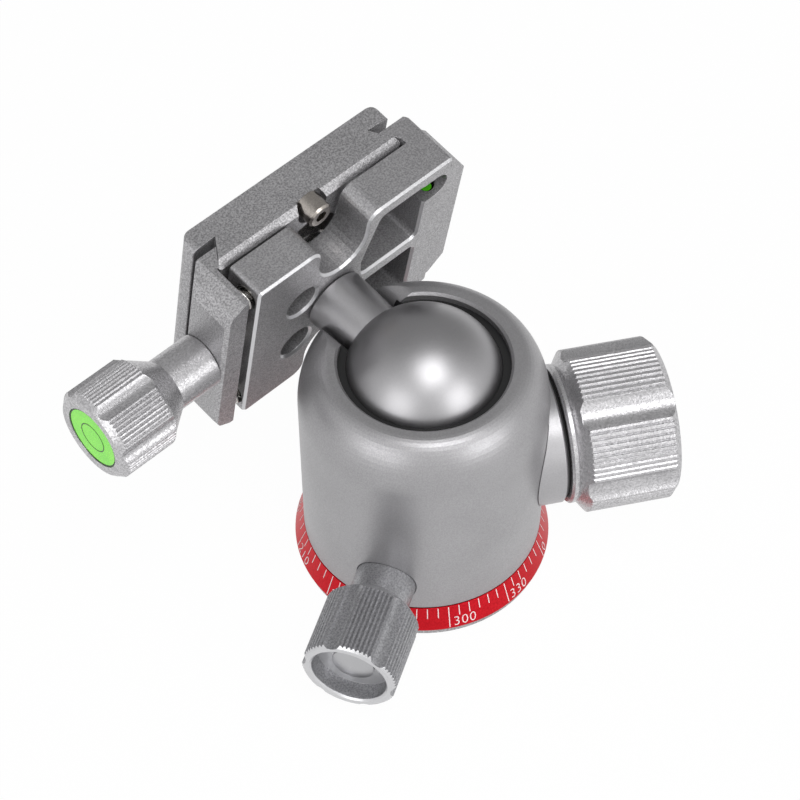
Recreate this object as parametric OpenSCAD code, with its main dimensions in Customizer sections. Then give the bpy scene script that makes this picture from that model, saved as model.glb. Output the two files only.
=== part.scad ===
// Small tripod ball head with a panning base, a drop notch, a quick-release
// clamp and a camera plate. Millimetres, +Z up, origin at the middle of the
// base's underside, on the tripod thread's axis. The drop notch faces +Y.

/* [Base and dial] */
// Radius of the dial's outer edge
dial_r = 21; // [20.6:0.1:23]
// Height of the dial's outer edge
dial_edge_z = 2; // [1.7:0.1:2.6]
// Thickness of the base flange
flange_t = 1.5; // [1:0.1:1.6]
// Height of the base's top face
base_top_z = 5.55; // [5:0.05:6]
// Radius of the base's hub
hub_r = 9.05; // [8.8:0.05:9.3]
// Radius of the tripod thread's bore (3/8 inch, 16 threads per inch)
tripod_thread_r = 4; // [3.9:0.05:4.1]
// Thickness of the slip washers
washer_t = 0.4; // [0.3:0.05:0.6]
// Thickness of the bearing ring
bearing_t = 2.6; // [2.2:0.1:2.8]
// Radius of the pan disc
pan_disc_r = 12.3; // [12:0.05:12.35]
// Thickness of the pan disc
pan_disc_t = 5.4; // [5:0.1:5.5]

/* [Housing] */
// Outer radius of the housing at its bottom edge
housing_foot_r = 19.5; // [19.3:0.1:20]
// Outer radius of the housing at the shoulder
housing_r = 19.75; // [19.5:0.05:20.5]
// Radius of the housing's bore
bore_r = 13.05; // [13:0.05:13.25]
// Height where the shoulder starts
shoulder_z = 36; // [34.5:0.5:38]
// Height of the lip
lip_z = 45; // [44.6:0.1:46]
// Outer radius of the lip's flat
lip_r = 15; // [14.6:0.1:15.6]
// Radius of the lip's mouth
mouth_r = 13.45; // [13.3:0.05:13.6]
// Half the width of the drop notch
notch_half = 5.8; // [5.6:0.1:6.4]

/* [Ball] */
// Radius of the ball
ball_r = 12.85; // [12.7:0.05:12.9]
// Height of the ball's centre
ball_z = 39.2; // [39:0.1:39.4]
// Radius of the stem
stem_r = 5.3; // [5:0.05:5.4]
// Distance from the ball's centre to the clamp's underside
stem_reach = 20.9; // [20.6:0.1:23]
// Angle of the stem from upright, in the drop notch
stem_tilt = 80; // [70:1:90]

/* [Lock knobs] */
// Direction of the main knob, in degrees
main_azimuth = -31.5; // [-40:0.5:-20]
// Height of the main knob's axis
main_z = 20.3; // [20:0.1:20.6]
// Radius of the main knob's head
main_head_r = 13.3; // [12.8:0.1:14]
// Length of the main knob
main_knob_l = 17.6; // [17:0.1:19]
// Radius of the main knob's collar
collar_r = 11; // [10.6:0.1:11.2]
// Distance of the collar's end from the housing's axis
collar_end = 21.5; // [21.2:0.1:22.5]
// Direction of the pan knob, in degrees
pan_azimuth = -152; // [-160:1:-140]
// Radius of the pan knob's head
pan_head_r = 7.7; // [7.4:0.1:8.2]
// Distance of the pan knob's open end from the housing's axis
pan_knob_end = 38.15; // [37.6:0.05:39]

/* [Clamp] */
// Length of the clamp
clamp_l = 34.3; // [34:0.1:36]
// Thickness of the fixed jaw, from the dovetail's edge to its outside
fixed_jaw_t = 4.1; // [3.9:0.1:5.1]
// Height of the clamp's channel floor
floor_n = 6.75; // [6.6:0.05:7]
// Height of the jaws
jaw_n = 10.8; // [10.4:0.1:11]
// Gap between moving jaw and base
jaw_gap = 1.8; // [1.6:0.1:2.2]
// Thickness of the moving jaw
jaw_t = 4.4; // [4.3:0.1:5]
// Radius of the clamp knob's head
clamp_head_r = 7.8; // [7.6:0.1:8.4]
// Length of the clamp knob
clamp_knob_l = 22; // [21.6:0.1:24]

/* [Camera plate] */
// Width of the dovetail
dovetail_w = 38; // [37.8:0.05:38.2]
// Width of the plate's top
plate_w = 40.8; // [40:0.1:42]
// Length of the plate
plate_l = 34.4; // [34:0.1:40]
// Thickness of the plate
plate_t = 8; // [7.8:0.1:9]
// Radius of the camera screw (1/4 inch, 20 threads per inch)
camera_screw_r = 3.175; // [3:0.025:3.2]
// Height of the camera screw above the plate
camera_screw_out = 5.5; // [4.5:0.1:6]

/* [Hidden] */
$fn = 96;
over = 1;
far = 60;
arc_steps = 7;
// Clearances: turning or sliding fits, pieces beside each other, faces that are clamped
run_gap = 0.05;
side_gap = 0.1;
seat_gap = 0.02;

// Base stack, from the bottom up
base_inset = 0.5;
edge_chamfer = 0.3;
dial_land = 1.55;
dial_gap = 0.15;
dial_inner_r = housing_foot_r - dial_land;
disc_r = dial_inner_r - run_gap;
housing_z = base_top_z + washer_t + run_gap;
bearing_top_z = housing_z + bearing_t;
pan_disc_z = bearing_top_z + run_gap + washer_t;
pan_disc_top_z = pan_disc_z + pan_disc_t;
bearing_r = 15;
washer_gap = 0.25;
washer_in_r = hub_r + washer_gap;
disc_screw_r = 1.5;
disc_screw_head_r = 2.75;
disc_screw_head_t = 3;
disc_screw_circle_r = 7;
disc_recess_r = 4.4;
disc_recess_t = 1;
disc_screw_count = 3;
disc_screw_tip_z = 3;
// Hex sockets, as shares of a head's radius and height
socket_r_share = 0.5;
socket_depth_share = 0.55;

// Housing: the shoulder is a superellipse, the seat ring lies in a groove under the lip
shoulder_power = 1.85;
shoulder_steps = 14;
mouth_chamfer = 0.4;
groove_r = 14.05;
groove_z = 40.9;
groove_top_z = 43.6;
foot_chamfer = 0.25;
notch_round_r = 3;
seat_ball_gap = 0.06;

// Main lock: pin and cup meet on a plane at 45 degrees
block_gap = 0.35;
block_z = pan_disc_top_z + block_gap;
block_top_z = 24;
cup_z = 25.6;
cup_top_z = 33.4;
cup_gap = 0.2;
cup_r = bore_r - cup_gap;
boss_r = 6;
cup_relief_r = 2.5;
cup_relief = 0.4;
boss_z = 16.4;
pin_r = 3.5;
pin_end = 11;
spindle_r = 4;
spindle_start = pin_end + run_gap;
collar_gap = 0.08;
collar_spigot_r = 6;
collar_spigot_start = 14.4;
collar_chamfer = 0.5;
oring_r = 9.9;
oring_cord_r = 0.75;
oring_out = 0.38;
main_knob_start = collar_end + oring_out + run_gap;
main_knob_end = main_knob_start + main_knob_l;
main_flange_r = 11.4;
main_flange_t = 1.4;
main_flange_edge = 0.4;
main_neck_t = 1.6;
main_bevel = 1.1;
main_screw_r = 2.5;
main_screw_head_r = 4.6;
main_screw_head_t = 2.4;
main_screw_l = 8;
main_screw_room = 0.9;
main_cap_r = 8;
main_cap_t = 1;
main_cap_inset = 0.2;

// Pan lock
pan_raise = 0.25;
pan_z = (pan_disc_z + pan_disc_top_z) / 2 + pan_raise;
pan_spindle_r = 2.5;
shoe_t = 2.25;
shoe_start = pan_disc_r + run_gap;
pan_spindle_start = shoe_start + shoe_t + run_gap;
pan_neck_r = 4.9;
pan_neck_start = 17;
pan_pocket_gap = 0.5;
pan_pocket_start = pan_neck_start - pan_pocket_gap;
pan_flange_r = 6.67;
pan_neck_end = 23.8;
pan_flange_end = 25.1;
pan_head_start = 26.2;
pan_rim_bevel = 0.45;
pan_hollow_r = 6.12;
pan_hollow_start = 35;
pan_button_r = 3.43;
pan_button_t = 1.35;

// Fluted knob heads, as shares of the head's radius
flute_count = 6;
flute_r_share = 0.26;
flute_depth_share = 0.09;
ridge_depth = 0.25;
main_ridges = 9;
small_ridges = 7;
// Share of a lobe that the ridges cover
ridge_cover_share = 0.96;
// Angles that the knobs' flutes stand at in the photographed pose
main_turn = 28;
pan_turn = 21;
clamp_turn = 22;

// Clamp frame: W across the jaws, L along the plate, N away from the ball. The dovetail
// reaches past the base's edge at W = 0, towards the moving jaw
jaw_reach = 1.1;
plate_left_w = -jaw_reach;
plate_mid_w = plate_left_w + dovetail_w / 2;
plate_right_w = plate_left_w + dovetail_w;
base_w = plate_right_w + fixed_jaw_t;
stem_off = 0.6;
stem_w = plate_mid_w - stem_off;
stem_l = -0.42;
stem_gap = 0.1;
bolt_r = 3;
bolt_head_r = 5.2;
bolt_sink = 0.25;
bolt_depth = 9;
base_chamfer = 0.4;
chamfer_over = 0.15;
corner_r = 0.8;
jaw_top_bevel = 0.9;
knob_n = 4.46;
clamp_spindle_r = 2;
spindle_wall = 0.7;
clamp_spindle_in = stem_w - bolt_head_r - spindle_wall;
flank_n = 7.9;
flank_run = 3.1;
flank_rise = 4.4;
plate_lift = 0.85;
plate_n = floor_n + plate_lift;
plate_top_n = plate_n + plate_t;
flange_n = 12.1;
plate_corner_r = 2;
plate_edge_r = 1;
plate_end_bevel = 1.2;
// End notches of the clamp base
notch_off = 0.1;
notch_w = plate_mid_w + notch_off;
notch_in = 9.55;
notch_side = 4.85;
notch_corner_r = 4.8;
notch_flare_r = 2.5;
// Windows between the notches and the fixed jaw, near one and far one
window_wall = 5.5;
window_right_w = base_w - window_wall;
window_r = 1.2;
window_end = 2.85;
rib_mid_l = 0.8;
rib_t = 2.8;
window_waist_off = 5.1;
window_waist_w = notch_w + window_waist_off;
window_waist_l = 4.6;
window_rim_off = 5.9;
window_rim_w = notch_w + window_rim_off;
window_rim_l = 7.7;
window_tip_off = 7.9;
window_tip_w = notch_w + window_tip_off;
window_rib_off = 5.7;
window_rib_w = notch_w + window_rib_off;
// Slot that shows the side vial's end, and the vial's bore from it along the fixed jaw
vial_slot_l = -12.05;
vial_slot_half = 2.45;
vial_slot_wall = 0.7;
vial_slot_end_w = base_w - vial_slot_wall;
vial_r = 1.3;
vial_length = 9;
vial_in = 2.6;
vial_w = base_w - vial_in;
vial_n = 2.4;
vial_wall = 0.3;
vial_plug = 0.4;
// Round holes in the left lobe
hole_off = 7.8;
hole_w = notch_w - hole_off;
hole_mid_l = 0.35;
hole_spacing = 11.5;
hole_r = 3;
hole_step_r = 2.1;
hole_step_n = 4.2;
hole_chamfer = 0.4;
// Raised panel on the outside of the fixed jaw
panel_out = 3.1;
panel_w = base_w + panel_out;
panel_half_l = 12.2;
panel_slope_l = 2.8;
panel_top_n = 9.6;
panel_slope_n = 0.8;
// Moving jaw
jaw_in_w = -jaw_gap;
jaw_out_w = jaw_in_w - jaw_t;
jaw_top_in = 3;
jaw_slope_n = 8;
jaw_corner_l = 3.65;
jaw_corner_w = 3.4;
jaw_mid_l = 1.45;
jaw_mid_w = 1.1;
jaw_foot = 0.3;
// Guide pins and springs of the moving jaw
guide_l = 13.8;
guide_n = 2.8;
guide_r = 1.2;
guide_in = 8;
guide_out = 2.75;
spring_r = 1.75;
wire_r = 0.28;
pocket_r = 2.2;
pocket_in = 4;
pocket_out = 1.5;
spring_turns = 5;
rings_per_turn = 8;
wire_sides = 6;
// Clamp knob and its bubble level, along -W from the jaw
clamp_knob_gap = 0.1;
clamp_neck_r = 4.5;
clamp_neck_l = 7.6;
clamp_cone_l = 3.8;
clamp_cone_r = 7.2;
clamp_head_l = 9.8;
clamp_end_bevel = 1.0;
level_r = 5.3;
level_t = 3.6;
level_wall = 0.5;
level_floor = 0.6;
lens_t = 0.7;
level_sink = 0.15;
// Safety screws in the plate's ends
safety_w = notch_w;
safety_in = 1.8;
safety_head_r = 2.25;
safety_head_n = 5.6;
safety_seat_n = 9.2;
safety_pocket_r = 2.95;
safety_screw_r = 1.25;
safety_tip_n = 13.6;
safety_bevel = 0.35;
// Camera screw, in a slot along the plate
slot_half_l = 5;
slot_half_w = 3.4;
screw_head_r = 6.8;
screw_head_t = 3;
screw_room = 0.25;
screw_coin_w = 1.4;
screw_coin_n = 1.3;
clip_t = 0.6;
clip_r = 4.6;
clip_groove_r = 2.6;
clip_room = 1.3;
clip_pocket_half_w = 5;
screw_tip_chamfer = 0.4;
// Rubber pads on the plate
pad_w = 7;
pad_inset_w = 4.2;
pad_end = 2.2;
pad_deep = 0.6;
pad_out = 0.3;

// Colours, as the photograph shows them
silver = [0.66, 0.66, 0.67];
bright = [0.78, 0.78, 0.79];
grey = [0.45, 0.46, 0.47];
dark = [0.12, 0.12, 0.13];
red = [0.78, 0.08, 0.10];
green = [0.35, 0.85, 0.20];
brass = [0.78, 0.62, 0.32];
steel = [0.58, 0.55, 0.52];

function unit(v) = v / norm(v);
function cross2(a, b) = a[0] * b[1] - a[1] * b[0];

// Points of the arc of radius r that rounds the corner at p
function corner_arc(before, p, after, r) =
    let (a = unit(before - p), b = unit(after - p), half = acos(a * b) / 2,
        mid = p + unit(a + b) * r / sin(half), cut = r / tan(half),
        from = p + a * cut - mid, to = p + b * cut - mid,
        start = atan2(from[1], from[0]), turn = atan2(to[1], to[0]) - start,
        sweep = turn > 180 ? turn - 360 : turn < -180 ? turn + 360 : turn)
    [for (i = [0:arc_steps]) mid + r * [cos(start + sweep * i / arc_steps),
        sin(start + sweep * i / arc_steps)]];

// Outline with each corner rounded by its own radius
function rounded(points, radii) = let (n = len(points))
    [for (i = [0:n - 1]) each radii[i] == 0 ? [points[i]] :
        corner_arc(points[(i + n - 1) % n], points[i], points[(i + 1) % n], radii[i])];

// Counter-clockwise outline moved outwards by d, and its corner radii changed to suit
function grown(points, d) = let (n = len(points))
    [for (i = [0:n - 1]) let (e = unit(points[i] - points[(i + n - 1) % n]),
        f = unit(points[(i + 1) % n] - points[i]), s = [e[1], -e[0]], t = [f[1], -f[0]])
        points[i] + d * (s + t) / (1 + s * t)];
function grown_radii(points, radii, d) = let (n = len(points))
    [for (i = [0:n - 1]) radii[i] == 0 ? 0 : radii[i] + d * sign(cross2(
        points[i] - points[(i + n - 1) % n], points[(i + 1) % n] - points[i]))];

// Solid through a list of rings with equal numbers of points, each with its own height
module stack(rings, heights) {
    n = len(rings[0]);
    m = len(rings) - 1;
    polyhedron(
        points = [for (k = [0:m]) each [for (p = rings[k]) [p[0], p[1], heights[k]]]],
        faces = concat([[for (i = [0:n - 1]) i]], [[for (i = [0:n - 1]) (m + 1) * n - 1 - i]],
            [for (k = [0:m - 1], i = [0:n - 1]) [k * n + i, (k + 1) * n + i,
                (k + 1) * n + (i + 1) % n, k * n + (i + 1) % n]]));
}

// Ring of points: an outline moved outwards by d, its corner radii changed to suit
function moved_ring(points, radii, d) = rounded(grown(points, d), grown_radii(points, radii, d));

// Bar with this outline up to h and past z = 0 below, whose walls slope in below z = c, so
// that a cut at z = 0 leaves a chamfer c
module sloped_bar(points, radii, h, c) {
    stack([moved_ring(points, radii, -c - chamfer_over), moved_ring(points, radii, 0),
        moved_ring(points, radii, 0)], [-chamfer_over, c, h]);
}

// The same as a cut, whose walls slope out below z = c
module sloped_cut(points, radii, h, c) {
    stack([moved_ring(points, radii, c + chamfer_over), moved_ring(points, radii, 0),
        moved_ring(points, radii, 0)], [-chamfer_over, c, h]);
}

// Ring between two radii
module ring(r_in, r_out, h) {
    difference() {
        cylinder(r = r_out, h = h);
        translate([0, 0, -over]) cylinder(r = r_in, h = h + 2 * over);
    }
}

// Frame of a knob: its Z runs outwards from the housing's axis
module knob_axis(azimuth, z) { rotate([0, 0, azimuth]) translate([0, 0, z]) rotate([0, 90, 0]) children(); }
module main_axis() { knob_axis(main_azimuth, main_z) children(); }
module pan_axis() { knob_axis(pan_azimuth, pan_z) children(); }

// Frame of the stem, and of the clamp on it
module stem_axis() { translate([0, 0, ball_z]) rotate([-stem_tilt, 0, 0]) children(); }
module clamp_frame() { stem_axis() translate([-stem_w, -stem_l, stem_reach]) children(); }

// Frame of the clamp knob: its Z runs from the jaw's outside towards -W
module clamp_knob_axis() {
    clamp_frame() translate([jaw_out_w, 0, knob_n]) rotate([0, -90, 0]) children();
}

// Round bar whose ends have chamfers
module chamfered_bar(r, h, c) {
    rotate_extrude() polygon([[0, 0], [r - c, 0], [r, c], [r, h - c], [r - c, h], [0, h]]);
}

// Hex socket in a head of radius r and height t whose top is at the origin
module hex_socket(r, t) {
    translate([0, 0, -t * socket_depth_share]) cylinder(r = r * socket_r_share, h = t, $fn = 6);
}

// Cross-section of a fluted head, with fine ridges on each lobe
module fluted_outline(r, ridges) {
    flute_r = r * flute_r_share;
    flute_at = r + flute_r - r * flute_depth_share;
    half = acos((r * r + flute_at * flute_at - flute_r * flute_r) / (2 * r * flute_at));
    lobe = (360 / flute_count - 2 * half) * ridge_cover_share;
    difference() {
        circle(r = r);
        for (k = [0:flute_count - 1]) rotate(360 / flute_count * k) {
            translate([flute_at, 0]) circle(r = flute_r);
            for (i = [0:ridges - 1])
                rotate(180 / flute_count + lobe * ((i + 0.5) / ridges - 0.5))
                    translate([r, 0]) circle(r = ridge_depth, $fn = 4);
        }
    }
}

// Fluted head between two heights, trimmed to a turned profile of radius and height pairs
module fluted_knob(r, ridges, low, high, profile) {
    intersection() {
        rotate_extrude() polygon(profile);
        union() {
            translate([0, 0, low]) linear_extrude(high - low) fluted_outline(r, ridges);
            cylinder(r = r - over, h = low + over);
        }
    }
}

// Half-space on the far side of the wedge's plane, moved by d towards the cup
module wedge_half(d) { rotate([0, 45, 0]) translate([-far / 2, -far / 2, d - far]) cube(far); }

// Base
module base_plate() {
    color(silver) difference() {
        union() {
            chamfered_bar(dial_r - base_inset, flange_t, edge_chamfer);
            cylinder(r = disc_r, h = base_top_z);
            cylinder(r = hub_r, h = pan_disc_z);
        }
        translate([0, 0, -over]) cylinder(r = tripod_thread_r, h = pan_disc_z + 2 * over);
        disc_screw_places() translate([0, 0, disc_screw_tip_z - edge_chamfer])
            cylinder(r = disc_screw_r + seat_gap, h = far);
    }
}

module disc_screw_places() {
    for (k = [0:disc_screw_count - 1]) rotate(360 / disc_screw_count * k)
        translate([disc_screw_circle_r, 0, 0]) children();
}

module scale_ring() {
    top = housing_z - dial_gap;
    color(red) rotate_extrude() polygon([[dial_inner_r, flange_t], [dial_r - edge_chamfer, flange_t],
        [dial_r, flange_t + edge_chamfer], [dial_r, dial_edge_z], [housing_foot_r, top],
        [dial_inner_r, top]]);
}

module lower_slip_washer() {
    color(dark) translate([0, 0, base_top_z]) ring(washer_in_r, bearing_r, washer_t);
}

module upper_slip_washer() {
    color(dark) translate([0, 0, bearing_top_z + run_gap]) ring(washer_in_r, pan_disc_r, washer_t);
}

module pan_disc() {
    color(steel) translate([0, 0, pan_disc_z]) difference() {
        chamfered_bar(pan_disc_r, pan_disc_t, edge_chamfer);
        translate([0, 0, -over]) cylinder(r = disc_recess_r, h = disc_recess_t + over);
        disc_screw_places() {
            translate([0, 0, -over]) cylinder(r = disc_screw_r + seat_gap, h = far);
            translate([0, 0, pan_disc_t - disc_screw_head_t]) cylinder(r = disc_screw_head_r + side_gap, h = far);
        }
    }
}

module pan_disc_screws() {
    color(dark) disc_screw_places() difference() {
        union() {
            translate([0, 0, disc_screw_tip_z]) cylinder(r = disc_screw_r, h = pan_disc_top_z
                - disc_screw_head_t - disc_screw_tip_z);
            translate([0, 0, pan_disc_top_z - disc_screw_head_t]) cylinder(r = disc_screw_head_r,
                h = disc_screw_head_t);
        }
        translate([0, 0, pan_disc_top_z]) hex_socket(disc_screw_head_r, disc_screw_head_t);
    }
}

// Housing's outside: nearly straight side, then the shoulder up to the lip
function shoulder_points(d) = [for (i = [0:shoulder_steps]) let (a = 90 * i / shoulder_steps)
    [lip_r + d + (housing_r - lip_r) * pow(cos(a), 2 / shoulder_power),
        shoulder_z + (lip_z - shoulder_z) * pow(sin(a), 2 / shoulder_power)]];

module housing_outside(d) {
    rotate_extrude() polygon(concat([[0, housing_z], [housing_foot_r - foot_chamfer + d, housing_z],
        [housing_foot_r + d, housing_z + foot_chamfer]], shoulder_points(d), [[0, lip_z]]));
}

// Drop notch: a slot as wide as the stem, round at the bottom, its top edges rounded away
module drop_notch() {
    wide = notch_half + notch_round_r;
    translate([0, far, 0]) rotate([90, 0, 0]) linear_extrude(far) {
        translate([0, ball_z]) circle(r = notch_half);
        translate([-notch_half, ball_z]) square([2 * notch_half, far]);
        difference() {
            translate([-wide, lip_z - notch_round_r]) square([2 * wide, far]);
            for (side = [-1, 1]) translate([side * wide, lip_z - notch_round_r]) circle(r = notch_round_r);
        }
    }
}

module housing() {
    pan_hole_r = pan_spindle_r + run_gap;
    color(silver) difference() {
        housing_outside(0);
        translate([0, 0, -over]) cylinder(r = bearing_r + run_gap, h = bearing_top_z + run_gap + over);
        cylinder(r = bore_r, h = groove_z + over);
        translate([0, 0, groove_z]) cylinder(r = groove_r, h = groove_top_z - groove_z);
        cylinder(r = mouth_r, h = far);
        translate([0, 0, lip_z - mouth_chamfer]) cylinder(r1 = mouth_r, r2 = mouth_r + mouth_chamfer + over,
            h = mouth_chamfer + over);
        drop_notch();
        main_axis() {
            cylinder(r = spindle_r + run_gap, h = far);
            translate([0, 0, collar_spigot_start]) cylinder(r = collar_spigot_r + seat_gap, h = far);
        }
        pan_axis() {
            cylinder(r = pan_hole_r, h = far);
            translate([0, 0, pan_pocket_start]) cylinder(r = pan_neck_r + side_gap, h = far);
        }
    }
}

module bearing_ring() {
    color(brass) translate([0, 0, housing_z]) ring(hub_r + run_gap, bearing_r, bearing_t);
}

module ball_seat_ring() {
    color(dark) difference() {
        translate([0, 0, groove_z]) cylinder(r = groove_r, h = groove_top_z - groove_z);
        translate([0, 0, ball_z]) sphere(r = ball_r + seat_ball_gap);
        drop_notch();
    }
}

module wedge_block() {
    color(silver) difference() {
        translate([0, 0, block_z]) cylinder(r = bore_r - run_gap, h = block_top_z - block_z);
        cylinder(r = boss_r + side_gap, h = far);
        main_axis() {
            cylinder(r = pin_r + run_gap, h = far);
            translate([0, 0, pin_end - side_gap]) cylinder(r = spindle_r + side_gap, h = far);
        }
    }
}

// Collar between housing and main knob, with the seal's groove in its end
module knob_collar() {
    color(bright) difference() {
        main_axis() {
            translate([0, 0, collar_spigot_start + seat_gap]) cylinder(r = collar_spigot_r, h = collar_end
                - collar_spigot_start - collar_chamfer);
            rotate_extrude() polygon([[0, collar_spigot_start + over], [collar_r, collar_spigot_start + over],
                [collar_r, collar_end - collar_chamfer], [collar_r - collar_chamfer, collar_end],
                [0, collar_end]]);
        }
        difference() {
            housing_outside(collar_gap);
            main_axis() cylinder(r = collar_spigot_r, h = far);
        }
        main_axis() {
            cylinder(r = spindle_r + run_gap, h = far);
            translate([0, 0, collar_end + oring_out - 2 * oring_cord_r])
                ring(oring_r - oring_cord_r - run_gap, oring_r + oring_cord_r + run_gap, far);
        }
    }
}

module main_knob_oring() {
    color(dark) main_axis() translate([0, 0, collar_end + oring_out - oring_cord_r])
        rotate_extrude() translate([oring_r, 0]) circle(r = oring_cord_r, $fn = 32);
}

// Cup under the ball, with a relief in its middle; its boss ends in the wedge's plane
module ball_cup() {
    color(brass) difference() {
        union() {
            translate([0, 0, cup_z]) cylinder(r = cup_r, h = cup_top_z - cup_z);
            translate([0, 0, boss_z]) cylinder(r = boss_r, h = cup_z - boss_z + over);
        }
        translate([0, 0, ball_z]) sphere(r = ball_r + seat_ball_gap);
        translate([0, 0, ball_z - ball_r - cup_relief]) cylinder(r = cup_relief_r, h = ball_r);
        intersection() {
            main_axis() rotate([0, 45, 0]) translate([-far / 2, -far / 2, -run_gap]) cube(far);
            cylinder(r = boss_r + over, h = cup_z);
        }
    }
}

module wedge_pin() {
    color(steel) main_axis() difference() {
        translate([0, 0, -pin_r]) cylinder(r = pin_r, h = pin_end + pin_r);
        wedge_half(0);
    }
}

module main_knob() {
    neck = main_knob_start + main_flange_t;
    head = neck + main_neck_t;
    hollow = main_knob_end - main_cap_t - main_cap_inset;
    seat = hollow - main_screw_head_t - main_screw_room;
    color(bright) main_axis() rotate([0, 0, main_turn]) difference() {
        fluted_knob(main_head_r, main_ridges, neck, main_knob_end, [
            [0, main_knob_start], [main_flange_r - main_flange_edge, main_knob_start],
            [main_flange_r, main_knob_start + main_flange_edge], [main_flange_r, neck - main_flange_edge],
            [main_flange_r - main_flange_edge, neck], [main_head_r, head],
            [main_head_r, main_knob_end - main_bevel], [main_head_r - main_bevel, main_knob_end],
            [0, main_knob_end]]);
        cylinder(r = spindle_r + seat_gap, h = far);
        translate([0, 0, seat]) cylinder(r = main_screw_head_r + side_gap, h = far);
        translate([0, 0, hollow]) cylinder(r = main_cap_r + seat_gap, h = far);
    }
}

module main_spindle() {
    seat = main_knob_end - main_cap_t - main_cap_inset - main_screw_head_t - main_screw_room;
    color(steel) main_axis() difference() {
        translate([0, 0, spindle_start]) chamfered_bar(spindle_r, seat - spindle_start, edge_chamfer);
        translate([0, 0, seat - main_screw_l - edge_chamfer]) cylinder(r = main_screw_r + seat_gap, h = far);
    }
}

module main_knob_screw() {
    seat = main_knob_end - main_cap_t - main_cap_inset - main_screw_head_t - main_screw_room;
    color(dark) main_axis() difference() {
        union() {
            translate([0, 0, seat - main_screw_l]) cylinder(r = main_screw_r, h = main_screw_l + over);
            translate([0, 0, seat + seat_gap]) chamfered_bar(main_screw_head_r, main_screw_head_t,
                edge_chamfer);
        }
        translate([0, 0, seat + seat_gap + main_screw_head_t]) hex_socket(main_screw_head_r, main_screw_head_t);
    }
}

module main_knob_cap() {
    color(silver) main_axis() translate([0, 0, main_knob_end - main_cap_t - main_cap_inset + seat_gap])
        chamfered_bar(main_cap_r, main_cap_t, edge_chamfer);
}

module pan_brake_shoe() {
    color(dark) pan_axis() translate([0, 0, shoe_start]) cylinder(r = pan_spindle_r, h = shoe_t);
}

module pan_knob() {
    color(grey) pan_axis() rotate([0, 0, pan_turn]) difference() {
        fluted_knob(pan_head_r, small_ridges, pan_flange_end, pan_knob_end, [
            [0, pan_neck_start], [pan_neck_r - edge_chamfer, pan_neck_start],
            [pan_neck_r, pan_neck_start + edge_chamfer], [pan_neck_r, pan_neck_end],
            [pan_flange_r, pan_flange_end], [pan_head_r, pan_head_start],
            [pan_head_r, pan_knob_end - pan_rim_bevel], [pan_head_r - pan_rim_bevel, pan_knob_end],
            [0, pan_knob_end]]);
        cylinder(r = pan_spindle_r + seat_gap, h = far);
        translate([0, 0, pan_hollow_start]) cylinder(r = pan_hollow_r, h = far);
        translate([0, 0, pan_knob_end - edge_chamfer]) cylinder(r1 = pan_hollow_r,
            r2 = pan_hollow_r + edge_chamfer + over, h = edge_chamfer + over);
    }
}

// Spindle of the pan knob, its round head domed by a large sphere
module pan_spindle() {
    dome_r = 3 * pan_button_r;
    color(bright) pan_axis() {
        translate([0, 0, pan_spindle_start]) cylinder(r = pan_spindle_r, h = pan_hollow_start - pan_spindle_start);
        intersection() {
            translate([0, 0, pan_hollow_start - over]) cylinder(r = pan_spindle_r, h = over + pan_button_t);
            translate([0, 0, pan_hollow_start + pan_button_t - dome_r]) sphere(r = dome_r);
        }
        intersection() {
            translate([0, 0, pan_hollow_start + seat_gap]) cylinder(r = pan_button_r, h = pan_button_t);
            translate([0, 0, pan_hollow_start + pan_button_t - dome_r]) sphere(r = dome_r);
        }
    }
}

module ball_and_stem() {
    color(silver) stem_axis() difference() {
        union() {
            sphere(r = ball_r);
            translate([0, 0, stem_reach - stem_gap]) mirror([0, 0, 1]) rotate_extrude()
                polygon([[0, 0], [stem_r - edge_chamfer, 0], [stem_r, edge_chamfer],
                    [stem_r, stem_reach - over], [0, stem_reach - over]]);
        }
        translate([0, 0, stem_reach - bolt_depth - edge_chamfer]) cylinder(r = bolt_r + run_gap, h = far);
    }
}

// Clamp
module at_stem() { translate([stem_w, stem_l, 0]) children(); }

module bolt_cone(d) {
    top = floor_n - bolt_sink;
    sink = bolt_head_r - bolt_r;
    translate([0, 0, top - sink - edge_chamfer]) cylinder(r1 = bolt_r + d, r2 = bolt_head_r + d, h = sink);
    translate([0, 0, top - edge_chamfer]) cylinder(r = bolt_head_r + d, h = edge_chamfer);
}

module clamp_bolt() {
    top = floor_n - bolt_sink;
    color(steel) clamp_frame() at_stem() difference() {
        union() {
            translate([0, 0, -bolt_depth]) cylinder(r = bolt_r, h = bolt_depth + over);
            cylinder(r = bolt_r, h = top - edge_chamfer);
            bolt_cone(0);
        }
        translate([0, 0, top]) hex_socket(bolt_head_r, bolt_head_r);
    }
}

// Outline of the clamp base seen from above, counter-clockwise, with both end notches
function base_outline() = let (e = clamp_l / 2, a = notch_w - notch_side, b = notch_w + notch_side,
        m = e - notch_in)
    [[0, -e], [a, -e], [a, -m], [b, -m], [b, -e], [base_w, -e],
        [base_w, e], [b, e], [b, m], [a, m], [a, e], [0, e]];
function base_radii() = let (f = notch_flare_r, r = notch_corner_r, c = corner_r)
    [c, f, r, r, f, c, c, f, r, r, f, c];

// Outline of a window; side is 1 for the one beyond the rib and -1 for the near one
function window_outline(side) = let (rib = rib_mid_l + side * rib_t / 2,
        tip = side * (clamp_l / 2 - window_end), half = side * window_waist_l,
        p = [[window_tip_w, tip], [window_right_w, tip], [window_right_w, rib], [window_rib_w, rib],
            [window_waist_w, half], [window_rim_w, side * window_rim_l]])
    side < 0 ? p : [for (i = [0:5]) p[5 - i]];

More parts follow.
